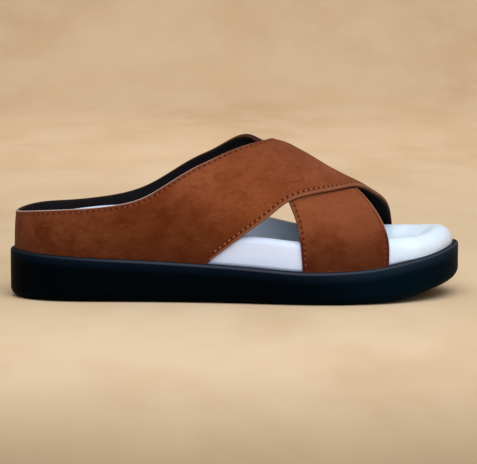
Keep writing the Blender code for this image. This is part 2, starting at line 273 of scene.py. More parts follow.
# Mesh fineness
STATION_STEP = 1.0 * MM
EDGE_NODES = (0, 0.12, 0.3, 0.55, 0.85, 1.2, 1.6, 2.0, 2.4, 2.8, 3.2, 3.6, 4.1, 4.8, 6.0, 8.0)
MIDDLE_NODES = 26
BACK_NODES = (0, 0.15, 0.3, 0.42, 0.6, 0.8, 0.92, 3.0)
BACK_MIDDLE_NODES = 16
LINING_NODES = (0, 0.3, 0.7, 1.5, 4.0)
LINING_MIDDLE_NODES = 22
OUTLINE_SAMPLES = 801
POINTS_ROUND = 420
ROUNDING_STEPS = 10
FLAT_STEPS = (0.3, 0.6, 0.85)
SIDE_STEPS = 8
BANK_STEPS = (0.15, 0.3, 0.45, 0.6, 0.75, 0.9)
DISH_STEPS = 28
DISH_SPREAD = 1.4
EVENED_POINTS = 6
EVENED_START = 0.3
EVENED_END = 0.7
GROOVE_STEPS = 24
THREAD_ROUNDS = 8
THREAD_SLICES = 9
ACROSS_STEPS = 60
LEAST_SLANT = 0.4
SHARP_ANGLE = 38
DELTA = 1e-4
NORMAL_STEP = 0.05
MERGE_DISTANCE = 1e-6

# Soft creases and swells of the straps: place along the band in mm from the heel's back, negative on
# the upper strap, share across from the rear edge, length, width and depth in mm, turn in degrees
CREASES = (
    (-232, 0.50, 46, 9, -0.45, 78),
    (-214, 0.42, 40, 8, 0.30, 74),
    (-150, 0.62, 44, 10, -0.40, 62),
    (-131, 0.66, 40, 9, 0.30, 60),
    (-104, 0.50, 34, 10, -0.35, 72),
    (-66, 0.55, 22, 12, -0.25, 80),
    (-34, 0.45, 20, 11, 0.22, 84),
    (36, 0.50, 20, 12, -0.25, 84),
    (72, 0.52, 24, 12, 0.22, 78),
    (108, 0.50, 34, 10, -0.35, 72),
    (150, 0.60, 42, 10, -0.35, 62),
    (248, 0.45, 36, 9, -0.35, 80),
    (262, 0.60, 32, 8, 0.28, 84),
)

# Floor: radius of its flat part, radius of its bend, height of the wall, and mesh steps
FLOOR_RADIUS = 1.9
FLOOR_BEND = 1.5
WALL_HEIGHT = 2.6
FLOOR_SIDES = 96
FLOOR_RINGS = 14
BEND_STEPS = 16

# Soft lights: name, place, aim, size, power, colour
LIGHTS = (
    ("key", (0.12, -0.7, 1.2), (0, 0, 0), 1.6, 15.5, (0.97, 0.98, 1.0)),
    ("front", (0.1, -1.6, 0.55), (0, 0, 0.03), 1.3, 12, (0.68, 0.82, 1.0)),
    ("wall", (0, 0.9, 1.6), (0, 3.0, 0.5), 1.2, 17, (1.0, 0.96, 0.92)),
)
SKY_COLOUR = (0.76, 0.89, 1.0, 1)
SKY_STRENGTH = 0.45

# Camera and picture
PICTURE_WIDTH = 477
PICTURE_HEIGHT = 464
FOCAL_PIXELS = 2372
CAMERA_DISTANCE = 1.5
CAMERA_ELEVATION = 6
TARGET = Vector((0, 0, 0.05))
TARGET_PIXEL = (235.0, 216.0)
SENSOR_WIDTH = 36


def smooth_curve(places, values):
    """The natural cubic spline through the points, as a function."""
    x = np.asarray(places, float)
    y = np.asarray(values, float)
    step = np.diff(x)
    slope = np.diff(y) / step
    matrix = np.eye(len(x))
    right = np.zeros(len(x))
    for i in range(1, len(x) - 1):
        matrix[i, i - 1 : i + 2] = step[i - 1], 2 * (step[i - 1] + step[i]), step[i]
        right[i] = 6 * (slope[i] - slope[i - 1])
    bend = np.linalg.solve(matrix, right)

    def at(place):
        place = np.clip(np.asarray(place, float), x[0], x[-1])
        i = np.clip(np.searchsorted(x, place, side="right") - 1, 0, len(x) - 2)
        b = (place - x[i]) / step[i]
        a = 1 - b
        curve = ((a**3 - a) * bend[i] + (b**3 - b) * bend[i + 1]) * step[i] ** 2 / 6
        return a * y[i] + b * y[i + 1] + curve

    return at


def columns(table):
    """Smooth curves of a table's other columns over its first one."""
    along, *others = zip(*table)
    return [smooth_curve(along, values) for values in others]


def smooth_step(value):
    value = np.clip(value, 0, 1)
    return value * value * (3 - 2 * value)


def ramp(value, start, end):
    """0 up to the start, 1 from the end on, and a soft step between them."""
    return smooth_step((value - start) / (end - start))


def turn_of(along):
    """Share of the length as a share of a half turn, so that even steps round the heel and toe."""
    return np.arccos(1 - 2 * np.asarray(along, float)) / math.pi


def along_of(turn):
    return (1 - np.cos(math.pi * np.asarray(turn, float))) / 2


def side_curve():
    """Y of the sole's edge over two whole turns: little-toe side before 0, big-toe side after it."""
    lateral = [(-turn_of(a), -little) for a, little, big in reversed(OUTLINE[1:])]
    medial = [(turn_of(a), big) for a, little, big in OUTLINE[:-1]]
    once = lateral + medial
    rows = [(t + 2 * lap, y) for lap in (-1, 0, 1) for t, y in once]
    rough = smooth_curve(*zip(*rows))
    sampled = rough(np.linspace(-1, 1, OUTLINE_SAMPLES))
    middle = (sampled.max() + sampled.min()) / 2
    width = sampled.max() - sampled.min()
    return lambda turn: (rough(turn) - middle) / width * SOLE_WIDTH


SIDE = side_curve()
HEEL_RISE, TOE_RISE, SPRING_RISE = columns(SOLE_HEIGHTS)
LATERAL_BANK, MEDIAL_BANK, SEAT = columns(FOOTBED_HEIGHTS)
(RIDGE_RISE,) = columns(RIDGE_HEIGHTS)


def wrapped(turn):
    return (np.asarray(turn, float) + 1) % 2 - 1


def edge(turn, inset):
    """Plan position of the sole's edge, moved inwards. Turn -1 and 1 are the toe and 0 is the heel."""

    def point(at):
        at = wrapped(at)
        return np.stack([(along_of(at) - 0.5) * SOLE_LENGTH, SIDE(at)], -1)

    ahead = unit(point(turn + DELTA) - point(turn - DELTA))
    inwards = np.stack([ahead[..., 1], -ahead[..., 0]], -1)
    return point(turn) + inwards * np.asarray(inset)[..., None]


def spine(turn):
    """Plan position of the middle line. Sections fan out round the heel and the toe."""
    along = along_of(turn)
    heel = HEEL_FAN * np.clip(1 - along / HEEL_FAN_END, 0, 1) ** 2
    toe = TOE_FAN * np.clip(1 - (1 - along) / TOE_FAN_END, 0, 1) ** 2
    middle = (SIDE(np.abs(turn)) + SIDE(-np.abs(turn))) / 2
    return np.stack([(along + heel - toe - 0.5) * SOLE_LENGTH, middle], -1)


def share_of(x):
    return np.clip(x / SOLE_LENGTH + 0.5, 0, 1)


def sole_top(x):
    along = share_of(x)
    to_heel = (HEEL_HEIGHT - BALL_HEIGHT) * HEEL_RISE(along)
    return BALL_HEIGHT + to_heel + (TOE_HEIGHT - BALL_HEIGHT) * TOE_RISE(along)


def sole_bottom(x):
    return TOE_SPRING * np.maximum(SPRING_RISE(share_of(x)), 0)


def with_height(plan, height):
    return np.concatenate([plan, np.asarray(height)[..., None]], -1)


def on_sole(plan, rise=0.0):
    """Points at a height above the outsole's top."""
    return with_height(plan, sole_top(plan[..., 0]) + rise)


def ridge_height(along):
    """Top of the last: level behind the instep, then falling to the toes."""
    instep = TOE_TOP + (INSTEP_TOP - TOE_TOP) * RIDGE_RISE(along)
    return HEEL_TOP + (instep - HEEL_TOP) * ramp(along, LAST_LEVEL_END, INSTEP_START)


def toe_share(turn):
    """Under the straps the footbed follows their lining; past them it fills out towards the toe."""
    return ramp(along_of(turn), TOE_FILL_START, TOE_FILL_END)


def last_face(turn, rise, inset):
    """Plan position on the last, which leans in with the height above the outsole, moved inwards."""
    ahead = toe_share(turn)
    foot = edge(turn, inset + (LEDGE + WALL + GAP) * (1 - ahead) + TOE_LEDGE * ahead)
    top = spine(turn) + [0, RIDGE_OFFSET]
    share = np.clip(rise / (ridge_height(along_of(turn)) - sole_top(foot[:, 0])), 0, 1)
    lean = 1 - (1 - share**ARCH_POWER) ** (1 / ARCH_POWER)
    return foot + (top - foot) * (lean * (1 - ahead))[:, None]


def bank_round(turn):
    """Rounding of the bank's top edge, wider where the footbed runs out in front of the straps."""
    ahead = ramp(along_of(turn), TOE_ROUND_START, TOE_ROUND_END)
    return BANK_ROUND + (TOE_BANK_ROUND - BANK_ROUND) * ahead


def bank_top(turn):
    along = along_of(turn)
    share = np.where(wrapped(turn) < 0, LATERAL_BANK(along), MEDIAL_BANK(along))
    return BANK_HEIGHT * share


def last_point(turn, around):
    """Point of the last: turn as for edge() without its sign, around in degrees from the ridge."""
    flipped = turn < 0
    turn = np.abs(turn)
    around = np.where(flipped, -around, around)
    signed = np.where(around < 0, -turn, turn)
    angle = np.radians(np.minimum(np.abs(around), 90))
    foot = edge(signed, LEDGE + WALL)
    top = spine(turn) + [0, RIDGE_OFFSET]
    inwards = 1 - np.sin(angle) ** (2 / ARCH_POWER)
    upwards = np.clip(np.cos(angle), 0, 1) ** (2 / ARCH_POWER)
    plan = foot + (top - foot) * inwards[..., None]
    base = sole_top(foot[..., 0]) + SEAM_GAP
    return with_height(plan, base + (ridge_height(along_of(turn)) - base) * upwards)


def last_normal(turn, around):
    """Outward normal of the last, from points a small step away."""
    lower = np.clip(around - NORMAL_STEP, -90, 90)
    upper = np.clip(around + NORMAL_STEP, -90, 90)
    across = last_point(turn, upper) - last_point(turn, lower)
    along = last_point(turn + DELTA, around) - last_point(turn - DELTA, around)
    return unit(np.cross(along, across))


def unit(vectors):
    return vectors / np.linalg.norm(vectors, axis=-1, keepdims=True)


def running_length(points):
    """Length along each line of points, from its first point on."""
    steps = np.linalg.norm(np.diff(points, axis=-2), axis=-1)
    return np.concatenate([np.zeros_like(steps[..., :1]), np.cumsum(steps, axis=-1)], axis=-1)


def quarter_turn(steps=ROUNDING_STEPS):
    return np.linspace(0, math.pi / 2, steps + 1)


def turns_round():
    return (np.arange(POINTS_ROUND) / POINTS_ROUND) * 2 - 1


# ---- meshes


def add_object(name, data):
    made = bpy.data.objects.new(name, data)
    bpy.context.scene.collection.objects.link(made)
    return made


def add_piece(name, mesh, material):
    mesh.shade_smooth()
    mesh.materials.append(material)
    return add_object(name, mesh)


def outwards(mesh):
    """Merge points that coincide and turn all faces outwards."""
    shape = bmesh.new()
    shape.from_mesh(mesh)
    bmesh.ops.remove_doubles(shape, verts=shape.verts, dist=MERGE_DISTANCE)
    bmesh.ops.recalc_face_normals(shape, faces=shape.faces)
    shape.to_mesh(mesh)
    shape.free()


def skin(rows, count, base=0):
    """Faces between closed rings that follow each other, numbered from the point base on."""
    faces = []
    for first in range(base, base + (rows - 1) * count, count):
        for i in range(count):
            j = (i + 1) % count
            faces.append((first + i, first + j, first + count + j, first + count + i))
    return faces


def lofted(name, rings, material):
    """A closed shell skinned over rings of points. The first and last ring close up on the spine."""
    mesh = bpy.data.meshes.new(name)
    mesh.from_pydata(np.concatenate(rings).tolist(), [], skin(len(rings), len(rings[0])))
    outwards(mesh)
    return add_piece(name, mesh, material)


def add_values(mesh, name, values):
    """Store one number or one vector for each point of the mesh."""
    values = np.asarray(values, float)
    kind, field = ("FLOAT", "value") if values.ndim == 1 else ("FLOAT_VECTOR", "vector")
    layer = mesh.attributes.new(name, kind, "POINT")
    layer.data.foreach_set(field, values.ravel())


# ---- outsole


def outsole(material):
    turns = turns_round()
    middle = spine(turns)
    rings = []
    for share in (0, *FLAT_STEPS):
        plan = middle + (edge(turns, BOTTOM_ROLL) - middle) * share
        rings.append(with_height(plan, sole_bottom(plan[:, 0])))
    for angle in quarter_turn():
        plan = edge(turns, BOTTOM_ROLL * (1 - math.sin(angle)))
        rise = BOTTOM_ROLL * (1 - math.cos(angle))
        rings.append(with_height(plan, sole_bottom(plan[:, 0]) + rise))
    rise = sole_bottom(plan[:, 0]) + BOTTOM_ROLL
    for share in np.linspace(0, 1, SIDE_STEPS + 1)[1:-1]:
        top = sole_top(plan[:, 0]) - RIM_ROUND
        rings.append(with_height(plan, rise + (top - rise) * share))
    for angle in quarter_turn():
        plan = edge(turns, RIM_ROUND * (1 - math.cos(angle)))
        rings.append(on_sole(plan, -RIM_ROUND * (1 - math.sin(angle))))
    plan = edge(turns, LEDGE + WALL)
    for share in (0, *FLAT_STEPS, 1):
        rings.append(on_sole(plan + (middle - plan) * share))
    piece = lofted("outsole_shell", rings, material)
    cut = piece.modifiers.new("grooves", "BOOLEAN")
    cut.operation = "DIFFERENCE"
    cut.solver = "EXACT"
    cutter = groove_cutter()
    cut.object = cutter
    graph = bpy.context.evaluated_depsgraph_get()
    mesh = bpy.data.meshes.new_from_object(piece.evaluated_get(graph))
    piece.modifiers.clear()
    piece.data = mesh
    bpy.data.objects.remove(cutter)
    piece.data.shade_smooth()
    piece.data.set_sharp_from_angle(angle=math.radians(SHARP_ANGLE))
    points = np.zeros(len(piece.data.vertices) * 3)
    piece.data.vertices.foreach_get("co", points)
    points = points.reshape(-1, 3)
    add_values(piece.data, "below_rim", (sole_top(points[:, 0]) - points[:, 2]) / MM)
    return piece


def groove_cutter():
    """Bowed grooves across the heel and the forefoot, as one cutter."""
    rows = [HEEL_TREAD_START * SOLE_LENGTH + i * GROOVE_PITCH for i in range(HEEL_GROOVES)]
    rows += [FOREFOOT_TREAD_START * SOLE_LENGTH + i * GROOVE_PITCH for i in range(FOREFOOT_GROOVES)]
    shape = bmesh.new()
    for row in rows:
        turn = float(turn_of(row / SOLE_LENGTH))
        low = float(SIDE(-turn)) + TREAD_MARGIN
        high = float(SIDE(turn)) - TREAD_MARGIN
        add_groove(shape, row - SOLE_LENGTH / 2, low, high)
    mesh = bpy.data.meshes.new("groove_cutter")
    shape.to_mesh(mesh)
    shape.free()
    return add_object("groove_cutter", mesh)


def add_groove(shape, x, low, high):
    across = np.linspace(0, 1, GROOVE_STEPS + 1)
    y = low + (high - low) * across
    centre = x + GROOVE_BOW * (1 - (2 * across - 1) ** 2)
    corners = ((-1, -1), (1, -1), (1, 1), (-1, 1))
    rings = []
    for at, along in zip(y, centre):
        floor = float(sole_bottom(along))
        spots = [(along + h * GROOVE_WIDTH / 2, at, floor + v * GROOVE_DEPTH) for h, v in corners]
        rings.append([shape.verts.new(spot) for spot in spots])
    for first, second in zip(rings, rings[1:]):
        for i in range(4):
            j = (i + 1) % 4
            shape.faces.new((first[i], first[j], second[j], second[i]))
    shape.faces.new(rings[0])
    shape.faces.new(list(reversed(rings[-1])))
    bmesh.ops.recalc_face_normals(shape, faces=shape.faces)


# ---- footbed


def footbed(material):
    turns = turns_round()
    middle = spine(turns)
    none = np.zeros(POINTS_ROUND)
    wall = last_face(turns, none, none)
    base = sole_top(wall[:, 0])
    top = bank_top(turns)
    rounding = bank_round(turns)
    rings = []
    for share in (1, 0.5, 0):
        rings.append(on_sole(wall + (middle - wall) * share, SEAM_GAP))
    for share in BANK_STEPS:
        rise = (top - rounding) * share
        rings.append(with_height(last_face(turns, rise, none), base + rise))
    for angle in quarter_turn():
        rise = top - rounding * (1 - math.sin(angle))
        inset = rounding * (1 - math.cos(angle))
        rings.append(with_height(last_face(turns, rise, inset), base + rise))
    rim = rings[-1]
    reach = np.linalg.norm(middle - rim[:, :2], axis=-1)
    seat = sole_top(middle[:, 0]) + BANK_HEIGHT * SEAT(share_of(middle[:, 0]))
    for share in np.linspace(0, 1, DISH_STEPS + 1)[1:] ** DISH_SPREAD:
        plan = rim[:, :2] + (middle - rim[:, :2]) * share
        fall = smooth_step(share * reach / np.minimum(BANK_WIDTH, reach))
        height = rim[:, 2] + (seat - rim[:, 2]) * fall
        shifts = range(-EVENED_POINTS, EVENED_POINTS + 1)
        evened = sum(np.roll(height, shift) for shift in shifts) / len(shifts)
        height = height + (evened - height) * ramp(share, EVENED_START, EVENED_END)
        rings.append(with_height(plan, height))
    return lofted("footbed_shell", rings, material)


# ---- straps


def edge_curve(places, points):
    """Smooth curve through (turn, around) points, as a function of the place along the band."""
    turns = smooth_curve(places, points[:, 0])
    angles = smooth_curve(places, points[:, 1])
    return lambda place: np.stack([turns(place), angles(place)], -1)


class Band:
    """Both straps as one band: from the upper strap's end, round the heel, to the lower strap's end.

    Places along it are lengths from the back of the heel, negative on the upper strap.
    """

    def __init__(self):
        over = [[(-turn_of(a), -g) for a, g in row] for row in reversed(OVER_STRAP)]
        under = [[(turn_of(a), g) for a, g in row] for row in UNDER_STRAP[1:]]
        rows = np.array(over + under, float)
        centre = last_point(rows[..., 0], rows[..., 1]).mean(axis=1)
        heel = len(OVER_STRAP) - 1
        places = running_length(centre)
        places -= places[heel]
        first, last = heel - CORNER_ROW, heel + CORNER_ROW
        self.corners = places[first], places[last]
        self.crossing = places[heel - LAST_CROSSING_ROW], places[heel - FIRST_CROSSING_ROW]
        self.stations = self.spread(places[0], *self.corners, places[-1])
        at = self.stations
        self.rear = edge_curve(places, rows[:, 0])(at)
        front = [
            edge_curve(places[: first + 1], rows[: first + 1, 1])(at),
            edge_curve(places[first : last + 1], rows[first : last + 1, 1])(at),
            edge_curve(places[last:], rows[last:, 1])(at),
        ]
        before = (at < self.corners[0])[:, None]
        behind = (at > self.corners[1])[:, None]
        self.front = np.where(before, front[0], np.where(behind, front[2], front[1]))
        self.measure()

    @staticmethod
    def spread(*breaks):
        stations = [breaks[0]]
        for start, end in zip(breaks, breaks[1:]):
            pieces = max(1, round((end - start) / STATION_STEP))
            stations.extend(np.linspace(start, end, pieces + 1)[1:])
        return np.array(stations)

    def measure(self):
        """Lengths across the band at each station, and how far its cross lines lean from its edges."""
        self.shares = np.linspace(0, 1, ACROSS_STEPS + 1)
        pairs = self.rear[:, None] + (self.front - self.rear)[:, None] * self.shares[:, None]
        line = last_point(pairs[..., 0], pairs[..., 1])
        self.lengths = running_length(line)
        self.rear_slant = self.slant(line[:, 0], line[:, 1] - line[:, 0])
        self.front_slant = self.slant(line[:, -1], line[:, -2] - line[:, -1])

    @staticmethod
    def slant(border, inwards):
        tangent = np.gradient(border, axis=0)
        sine = np.linalg.norm(np.cross(unit(tangent), unit(inwards)), axis=-1)
        return np.clip(sine, LEAST_SLANT, 1)

    def lift(self):
        """The upper strap climbs over the lower one."""
        start, end = self.crossing
        outside = CROSSING_RAMP * RAMP_OUTSIDE
        inside = CROSSING_RAMP - outside
        on = ramp(self.stations, start - outside, start + inside)
        off = ramp(self.stations, end - inside, end + outside)
        return CROSSING_LIFT * (on - off)

    def front_free(self):
        """1 where the front edge is free, 0 where it is set into the sole."""
        first, last = self.corners
        outside = np.maximum(first - self.stations, self.stations - last)
        return ramp(outside, 0, CORNER_RAMP)

    def grid(self, edge_nodes, middle_nodes, rear_inset=0.0, front_inset=0.0):
        """Lengths across, from the rear edge, of the nodes of each station's cross line."""
        near = np.array(edge_nodes) * MM
        rear = (near + rear_inset) / self.rear_slant[:, None]
        whole = self.lengths[:, -1:]
        front = whole - (near[::-1] + front_inset) / self.front_slant[:, None]
        shares = np.linspace(0, 1, middle_nodes + 2)[1:-1]
        middle = rear[:, -1:] + (front[:, :1] - rear[:, -1:]) * shares
        return np.concatenate([rear, middle, front], axis=1)

    def pairs(self, across):
        """Turn and around at lengths across the band."""
        shares = np.stack([np.interp(a, w, self.shares) for a, w in zip(across, self.lengths)])
        return self.rear[:, None] + (self.front - self.rear)[:, None] * shares[..., None]

    def surface(self, across):
        """Points and outward normals of the last at lengths across the band, with the lift."""
        pairs = self.pairs(across)
        points = last_point(pairs[..., 0], pairs[..., 1])
        normals = last_normal(pairs[..., 0], pairs[..., 1])
        return points + normals * self.lift()[:, None, None], normals

    def from_rear(self, across):
        return across * self.rear_slant[:, None]

    def from_front(self, across):
        return (self.lengths[:, -1:] - across) * self.front_slant[:, None]

    def crease_height(self, across):
        """Creases and swells listed in CREASES."""
        share = across / self.lengths[:, -1:]
        total = np.zeros_like(across)
        for place, middle, length, width, depth, angle in CREASES:
            along = (self.stations[:, None] / MM - place) * np.ones_like(across)
            aside = (share - middle) * self.lengths[:, -1:] / MM
            c, s = math.cos(math.radians(angle)), math.sin(math.radians(angle))
            u = (along * c + aside * s) / (length / 2)
            v = (-along * s + aside * c) / width
            total += depth * MM * np.exp(-(u**2) - v**2)
        return total

    def suede_height(self, across):
        """Outer face above the last: rounded free edges, a puffed rim and a stitched-down channel."""
        rear = self.from_rear(across)
        front = self.from_front(across)
        free = self.front_free()[:, None]
        creases = self.crease_height(across) * ramp(np.minimum(rear, front), 0, CREASE_FADE)
        height = WALL + creases + edge_relief(rear, REAR_STITCH_INSET)
        return height + edge_relief(front, FRONT_STITCH_INSET) * free


def edge_relief(distance, stitch_inset):
    """Change of height near a free edge at a distance from it."""
    short = np.clip(1 - distance / EDGE_ROUND, 0, 1)
    rounding = EDGE_ROUND * (1 - np.sqrt(1 - short**2)) * EDGE_ROUND_SHARE
    from_puff = (distance / stitch_inset - PUFF_PLACE) / PUFF_WIDTH
    puff = EDGE_PUFF * np.exp(-(from_puff**2))
    sink = STITCH_SINK * np.exp(-(((distance - stitch_inset) / STITCH_CHANNEL) ** 2))
    return puff - sink - rounding


def ribbon(name, sections, material, values):
    """A closed shell skinned along the band's closed sections."""
    rows, count = sections.shape[:2]
    faces = skin(rows, count)
    faces.append(tuple(range(count)))
    faces.append(tuple((rows - 1) * count + i for i in reversed(range(count))))
    mesh = bpy.data.meshes.new(name)
    mesh.from_pydata(sections.reshape(-1, 3).tolist(), [], faces)
    for label, numbers in values.items():
        add_values(mesh, label, numbers.reshape(-1, *numbers.shape[2:]))
    return add_piece(name, mesh, material)


def stitch_path(band, inset, from_front):
    """Points on the suede's face along a stitch row, its normals, and the run along it."""
    if from_front:
        across = band.lengths[:, -1:] - inset / band.front_slant[:, None]
    else:
        across = inset / band.rear_slant[:, None]
    points, normals = band.surface(across)
    points = points + normals * band.suede_height(across)[..., None]
    points, normals = points[:, 0], normals[:, 0]
    return points, normals, running_length(points)


def suede_piece(band, rear_run, front_run, material):
    """The suede layer: its face, and a back that lies on the lining and turns under at the edges."""
    across = band.grid(EDGE_NODES, MIDDLE_NODES)
    points, normals = band.surface(across)
    outer = points + normals * band.suede_height(across)[..., None]
    back = band.grid(BACK_NODES, BACK_MIDDLE_NODES)[:, ::-1]
    back_points, back_normals = band.surface(back)
    from_rear, from_front = band.from_rear(back), band.from_front(back)
    edge_distance = np.minimum(from_rear, from_front)
    turned_edge = np.where(from_rear < from_front, REAR_TURNED_EDGE, FRONT_TURNED_EDGE)
    turned = ramp(edge_distance, turned_edge, turned_edge + TURNED_STEP)
    tucked = TUCK_HEIGHT * np.clip(1 - edge_distance / TUCK_WIDTH, 0, 1) ** 2
    floor = TURNED_FOOT + tucked + (LINING + LAYER_GAP - TURNED_FOOT) * turned
    inner = back_points + back_normals * floor[..., None]
    sections = np.concatenate([outer, inner], axis=1)
    values = {}
    looks = suede_values(band, across, outer, normals, rear_run, front_run)
    for label, (shown, hidden) in looks.items():
        filled = np.broadcast_to(hidden, back.shape + shown.shape[2:])
        values[label] = np.concatenate([shown, filled], axis=1)
    return ribbon("suede_straps", sections, material, values)


def suede_values(band, across, outer, normals, rear_run, front_run):
    """What the suede's material reads at each point of its face, with the value for the hidden back.

    Distances from the edges are in mm. The seam's vector holds the run in stitches, the distance from
    the stitch row in mm and how dark the painted shade in the holes is.
    """
    rear = band.from_rear(across)
    front = band.from_front(across)
    free = band.front_free()[:, None] > 0.5
    far = FAR_FROM_EDGE / MM
    from_rear_row = rear - REAR_STITCH_INSET
    from_front_row = front - FRONT_STITCH_INSET
    near_front = (np.abs(from_front_row) < np.abs(from_rear_row)) & free
    offset = np.where(near_front, from_front_row, from_rear_row)
    run = np.where(near_front, front_run[:, None], rear_run[:, None])
    upper_strap = (band.stations < 0)[:, None]
    at_heel, ahead, lower = REAR_HOLES
    x = outer[..., 0]
    rear_holes = at_heel + (ahead - at_heel) * ramp(x, REAR_HOLES_START, REAR_HOLES_END)
    rear_holes = np.where(upper_strap, rear_holes, lower)
    holes = np.where(near_front, np.where(upper_strap, *FRONT_HOLES), rear_holes)
    # How high the painted shade towards the sole reaches
    fade = LOW_FADE_BACK + (LOW_FADE_FRONT - LOW_FADE_BACK) * ramp(x, LOW_FADE_START, LOW_FADE_END)
    return {
        "rear_edge": (np.minimum(rear, FAR_FROM_EDGE) / MM, far),
        "front_edge": (np.where(free, np.minimum(front / MM, far), far), far),
        "inside": (np.zeros_like(across), 1),
        "lower_strap": (np.ones_like(across) * ~upper_strap, 0),
        # low: share of painted shade towards the sole
        "low": (np.exp(-(((outer[..., 2] - sole_top(x)) / fade) ** 2)), 0),
        # upward: how much the face looks up, which steers painted shade
        "upward": (np.clip(normals[..., 2], 0, 1), 0),
        "seam": (np.stack([run / STITCH_PITCH, offset / MM, holes], -1), (0, far, 0)),
    }


def lining_piece(band, material):
    across = band.grid(LINING_NODES, LINING_MIDDLE_NODES, REAR_LINING_INSET, FRONT_LINING_INSET)
    points, normals = band.surface(across)
    rear = band.from_rear(across) - REAR_LINING_INSET
    front = band.from_front(across) - FRONT_LINING_INSET
    near = np.minimum(rear, front)
    soft = LINING_SOFTNESS * np.clip(1 - near / LINING_ROUND, 0, 1) ** 2
    outer = points + normals * LINING
    inner = points + normals * soft[..., None]
    sections = np.concatenate([outer, inner[:, ::-1]], axis=1)
    return ribbon("strap_lining", sections, material, {})


def at_run(place, run, rows):
    return np.array([np.interp(place, run, column) for column in rows.T])


def thread_piece(paths, material):
    """Every stitch as a short thread that dives into the suede at both ends."""
    around = np.arange(THREAD_ROUNDS) / THREAD_ROUNDS * 2 * math.pi
    slant = math.radians(THREAD_SLANT)
    points, faces, tones = [], [], []
    for path, normals, run, tone in paths:
        tangents = unit(np.gradient(path, axis=0))
        first, last = math.ceil(run[0] / STITCH_PITCH), math.floor(run[-1] / STITCH_PITCH)
        for place in (np.arange(first, last) + 0.5) * STITCH_PITCH:
            centre = at_run(place, run, path)
            up = unit(at_run(place, run, normals))
            ahead = unit(at_run(place, run, tangents))
            side = unit(np.cross(up, ahead))
            ahead, side = (
                ahead * math.cos(slant) + side * math.sin(slant),
                side * math.cos(slant) - ahead * math.sin(slant),
            )
            faces += skin(THREAD_SLICES, THREAD_ROUNDS, len(points))
            for a in np.linspace(-1, 1, THREAD_SLICES):
                thick = math.sqrt(max(1 - abs(a) ** THREAD_TAPER, 0.0))
                stand = THREAD_STAND - THREAD_DIVE * abs(a) ** THREAD_DIVE_POWER
                spot = centre + ahead * a * THREAD_LENGTH / 2 + up * stand
                for angle in around:
                    swing = side * math.cos(angle) * THREAD_WIDTH / 2
                    rise = up * math.sin(angle) * THREAD_HEIGHT / 2
                    points.append(spot + (swing + rise) * thick)
                    tones.append(tone)
    mesh = bpy.data.meshes.new("strap_stitches")
    mesh.from_pydata([tuple(p) for p in points], [], faces)
    add_values(mesh, "tone", tones)
    outwards(mesh)
    return add_piece("strap_stitches", mesh, material)


# ---- materials


def colour(red, green, blue):
    """Linear colour from the 0 to 255 numbers of a picture."""

    def linear(value):
        value /= 255
        return value / 12.92 if value <= 0.04045 else ((value + 0.055) / 1.055) ** 2.4

    return (linear(red), linear(green), linear(blue), 1)


class Look:
    """A Principled material with short ways to add nodes to it."""

    def __init__(self, name, values):
        self.material = bpy.data.materials.new(name)
        self.material.use_nodes = True
        self.tree = self.material.node_tree
        self.shader = self.tree.nodes["Principled BSDF"]
        self.place = self.node("ShaderNodeTexCoord").outputs["Object"]
        self.set(values)

    def set(self, values):
        for socket, value in values.items():
            self.feed(self.shader.inputs[socket], value)

    def feed(self, socket, value):
        if isinstance(value, bpy.types.NodeSocket):
            self.tree.links.new(value, socket)
        else:
            socket.default_value = value

    def node(self, kind, inputs=None, **settings):
        made = self.tree.nodes.new(kind)
        for setting, value in settings.items():
            setattr(made, setting, value)
        for socket, value in (inputs or {}).items():
            self.feed(made.inputs[socket], value)
        return made

    def noise(self, size, detail=3.0, roughness=0.55, stretch=(1, 1, 1), shift=0.0):
        """Noise from 0 to 1 with features of about this size in metres."""
        inputs = {"Vector": self.place, "Scale": stretch, "Location": (shift, shift, shift)}
        place = self.node("ShaderNodeMapping", inputs).outputs[0]
        inputs = {"Vector": place, "Scale": 1 / size, "Detail": detail, "Roughness": roughness}
        return self.node("ShaderNodeTexNoise", inputs).outputs["Fac"]

    def grain(self, scale):
        """Distances in a pattern of cells, for the grain of leather."""
        inputs = {"Vector": self.place, "Scale": scale}
        return self.node("ShaderNodeTexVoronoi", inputs).outputs["Distance"]

    def between(self, value, low, high, to_low=0.0, to_high=1.0):
        """A soft step of the value between low and high, from one number to another."""
        inputs = dict(enumerate((value, low, high, to_low, to_high)))
        return self.node("ShaderNodeMapRange", inputs, interpolation_type="SMOOTHSTEP").outputs[0]

    def math(self, operation, first, second=0.0):
        return self.node("ShaderNodeMath", {0: first, 1: second}, operation=operation).outputs[0]

    def times(self, first, second):
        return self.math("MULTIPLY", first, second)

    def mixed(self, share, first, second):
        inputs = {0: share, 6: first, 7: second}
        return self.node("ShaderNodeMix", inputs, data_type="RGBA").outputs[2]

    def layered(self, shade, *layers):
        """The shade with a share of each colour laid over it in turn."""
        for share, *numbers in layers:
            shade = self.mixed(share, shade, colour(*numbers))
        return shade

    def split(self, vector):
        return self.node("ShaderNodeSeparateXYZ", {0: vector}).outputs

    def value_of(self, name, output="Fac"):
        return self.node("ShaderNodeAttribute", attribute_name=name).outputs[output]

    def bump(self, height, distance, strength=1.0, below=None):
        inputs = {"Height": height, "Distance": distance, "Strength": strength}
        if below is not None:
            inputs["Normal"] = below
        return self.node("ShaderNodeBump", inputs).outputs["Normal"]


